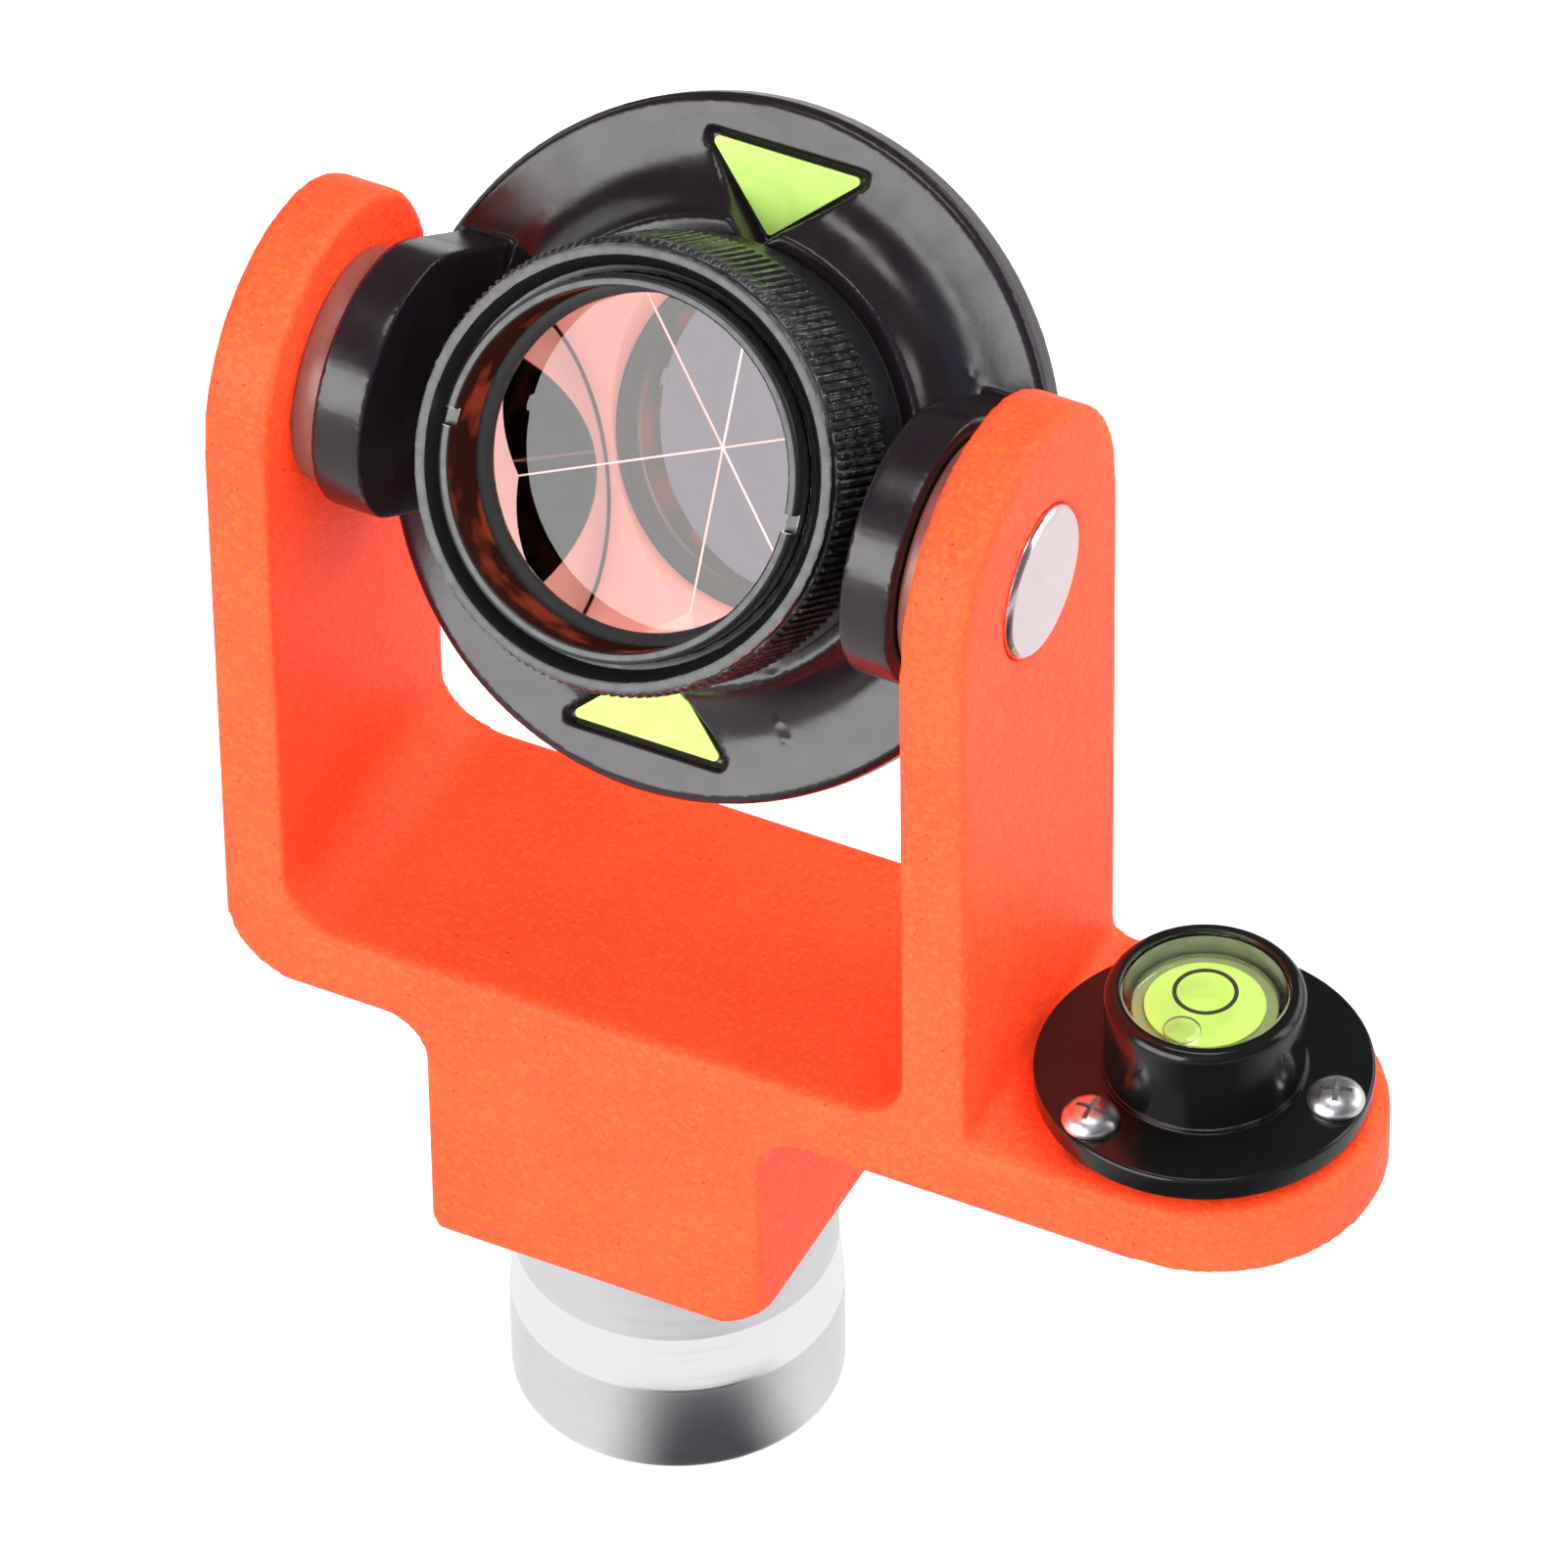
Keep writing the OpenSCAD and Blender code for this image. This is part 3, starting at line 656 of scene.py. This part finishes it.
def sector(name, height, start, end, near, far, radiance, side=None):
    """A flat glowing sector between two azimuths that shows only in reflections, unless
    the caller shows it elsewhere. With side given, it fades from radiance in the middle to
    side at both ends."""
    bm = bmesh.new()
    steps = max(4, int((end - start) / 5))
    angles = [math.radians(start + (end - start) * i / steps) for i in range(steps + 1)]
    inner = [bm.verts.new((near * math.sin(a), -near * math.cos(a), height)) for a in angles]
    outer = [bm.verts.new((far * math.sin(a), -far * math.cos(a), height)) for a in angles]
    for i in range(steps):
        bm.faces.new((inner[i], outer[i], outer[i + 1], inner[i + 1]))
    bmesh.ops.remove_doubles(bm, verts=bm.verts, dist=1e-6)
    mesh = bpy.data.meshes.new(name)
    bm.to_mesh(mesh)
    bm.free()
    shine = bpy.data.materials.new(name)
    shine.use_nodes = True
    tree = shine.node_tree
    tree.nodes.clear()
    glow = tree.nodes.new("ShaderNodeEmission")
    glow.inputs["Color"].default_value = (*radiance, 1)
    glow.inputs["Strength"].default_value = 1.0
    if side:
        coords = tree.nodes.new("ShaderNodeTexCoord")
        turn = tree.nodes.new("ShaderNodeTexGradient")
        turn.gradient_type = "RADIAL"
        tree.links.new(coords.outputs["Object"], turn.inputs["Vector"])
        fade = tree.nodes.new("ShaderNodeValToRGB")
        fade.color_ramp.interpolation = "EASE"
        middle, spread = (start + end) / 2, (end - start) * 0.12
        first, last = fade.color_ramp.elements
        # The gradient's zero is a quarter turn before the azimuths' zero.
        first.position, first.color = start / 360 + 0.25, (*side, 1)
        last.position, last.color = end / 360 + 0.25, (*side, 1)
        for place in (middle - spread, middle + spread):
            fade.color_ramp.elements.new(place / 360 + 0.25).color = (*radiance, 1)
        tree.links.new(turn.outputs["Fac"], fade.inputs["Fac"])
        tree.links.new(fade.outputs["Color"], glow.inputs["Color"])
    tree.links.new(glow.outputs[0], tree.nodes.new("ShaderNodeOutputMaterial").inputs["Surface"])
    mesh.materials.append(shine)
    card = bpy.data.objects.new(name, mesh)
    bpy.context.scene.collection.objects.link(card)
    card.visible_camera = False
    card.visible_diffuse = False
    card.visible_shadow = False
    card.visible_transmission = False
    return card


def make_stage():
    scene = bpy.context.scene
    scene.view_settings.view_transform = "Standard"
    scene.view_settings.look = "None"
    world = bpy.data.worlds.new("studio")
    world.use_nodes = True
    tree = world.node_tree
    back = tree.nodes["Background"]
    back.inputs["Color"].default_value = (1, 1, 1, 1)
    # The world is white to the camera, half as bright through glass and dim to all else.
    path = tree.nodes.new("ShaderNodeLightPath")
    through = tree.nodes.new("ShaderNodeMapRange")
    through.inputs["To Min"].default_value = 0.12
    through.inputs["To Max"].default_value = 0.5
    tree.links.new(path.outputs["Is Transmission Ray"], through.inputs["Value"])
    level = tree.nodes.new("ShaderNodeMapRange")
    level.inputs["To Max"].default_value = 1.0
    tree.links.new(through.outputs["Result"], level.inputs["To Min"])
    tree.links.new(path.outputs["Is Camera Ray"], level.inputs["Value"])
    tree.links.new(level.outputs["Result"], back.inputs["Strength"])
    scene.world = world

    softbox("key", (-0.33, -0.88, 0.345), 0.9, 0.85, 0.55, 6.2)
    softbox("front", (0.05, -0.97, 0.2), 1.0, 1.2, 0.8, 5.4).visible_glossy = False
    softbox("top", (0.1, -0.35, 0.9), 0.9, 0.8, 0.7, 2.5).visible_glossy = False
    softbox("strip", (0.0, -0.1, 1.0), 0.9, 0.5, 0.22, 5.0).visible_diffuse = False
    softbox("top_rear", (0.35, 0.45, 0.82), 0.9, 0.8, 0.7, 8.5).visible_glossy = False
    softbox("right", (0.85, -0.2, 0.6), 1.0, 0.8, 0.6, 3.0).visible_glossy = False
    softbox("right_strip", (0.9, 0.45, 0.35), 1.0, 0.25, 0.7, 3.0)
    softbox("left", (-0.95, 0.2, 0.35), 1.0, 0.6, 0.6, 1.2)
    softbox("rear", (0.5, 0.85, 0.3), 1.1, 0.8, 0.5, 2.0)

    bm = bmesh.new()
    bmesh.ops.create_grid(bm, x_segments=2, y_segments=2, size=0.5)
    mesh = bpy.data.meshes.new("floor")
    bm.to_mesh(mesh)
    bm.free()
    p = Paint("pale_floor", (0.8, 0.8, 0.8), 0.9, Specular_IOR_Level=0.1)
    p.roughen(p.noise(30, 2.0), 0.85, 0.95)
    # The floor is see-through from below, so that the underside can be looked at.
    back_side = p.node("ShaderNodeNewGeometry").outputs["Backfacing"]
    mix = p.node("ShaderNodeMixShader")
    p.tree.links.new(back_side, mix.inputs[0])
    p.tree.links.new(p.shader.outputs[0], mix.inputs[1])
    p.tree.links.new(p.node("ShaderNodeBsdfTransparent").outputs[0], mix.inputs[2])
    p.tree.links.new(mix.outputs[0], p.tree.nodes["Material Output"].inputs["Surface"])
    mesh.materials.append(p.material)
    floor = bpy.data.objects.new("floor", mesh)
    scene.collection.objects.link(floor)

    # Cards seen in reflections: the floor, its shaded parts and the dark room, which is
    # seen through glass too.
    white = (0.9, 0.9, 0.9)
    stub_rim = 0.0119
    sector("floor_card", 0.0001, 0, 360, stub_rim, 1.5, white)
    sector("near_shade_card", 0.0002, -8, 84, stub_rim, 0.0215, (0.07, 0.07, 0.08), white)
    sector("far_shade_card", 0.0002, -6, 104, 0.030, 0.3, (0.04, 0.04, 0.05), white)
    room = sector("dark_room_card", 0.0, 0, 360, 0.0, 0.2, (0.2, 0.36, 0.54))
    to_camera = Vector((0.332, -0.659, 0.675))
    room.location = Vector((0, 0, 0.08)) + to_camera * 0.6
    room.rotation_mode = "QUATERNION"
    room.rotation_quaternion = to_camera.to_track_quat("Z", "Y")
    room.visible_transmission = True


def make_camera():
    """The main view: azimuth 26.7, elevation 42.4 and a slight roll."""
    data = bpy.data.cameras.new("camera")
    data.lens, data.sensor_width = 329.2, 36
    data.shift_x, data.shift_y = -0.0011, -0.0045
    data.clip_start, data.clip_end = 0.05, 20
    camera = bpy.data.objects.new("camera", data)
    azimuth, elevation, roll = (math.radians(a) for a in (26.722, 42.426, -0.822))
    aim, distance = Vector((9.1, 0, 58.5)) * MM, 0.9711
    back = Vector((math.sin(azimuth) * math.cos(elevation), -math.cos(azimuth) * math.cos(elevation),
                   math.sin(elevation)))
    camera.location = aim + back * distance
    camera.rotation_mode = "QUATERNION"
    turn = Matrix.Rotation(roll, 4, "Z").to_quaternion()
    camera.rotation_quaternion = (-back).to_track_quat("-Z", "Y") @ turn
    bpy.context.scene.collection.objects.link(camera)
    bpy.context.scene.camera = camera


mats = make_materials()
make_camera()
make_stage()
make_yoke(mats)
make_holder(mats)
make_canister(mats)
make_retainer(mats)
make_glass(mats)
make_stub(mats)
make_pins_and_washers(mats)
make_level(mats)
keep("stub_fixing_screw", mats["steel"])
keep("upper_target_mark", mats["lime"])
keep("lower_target_mark", mats["lime"])
keep("thread_seal_ring", mats["rubber"])
keep("spacer_ring", mats["black_bore"])
keep("front_cushion_ring", mats["rubber"])
keep("rear_cushion_ring", mats["rubber"])
keep("rear_cap", mats["black_anodised"])
keep("level_cushion_ring", mats["rubber"])
keep("level_ring_mark", mats["ink"])
keep("level_back_disc", mats["lime_disc"])
keep("level_plug", mats["level_base"])
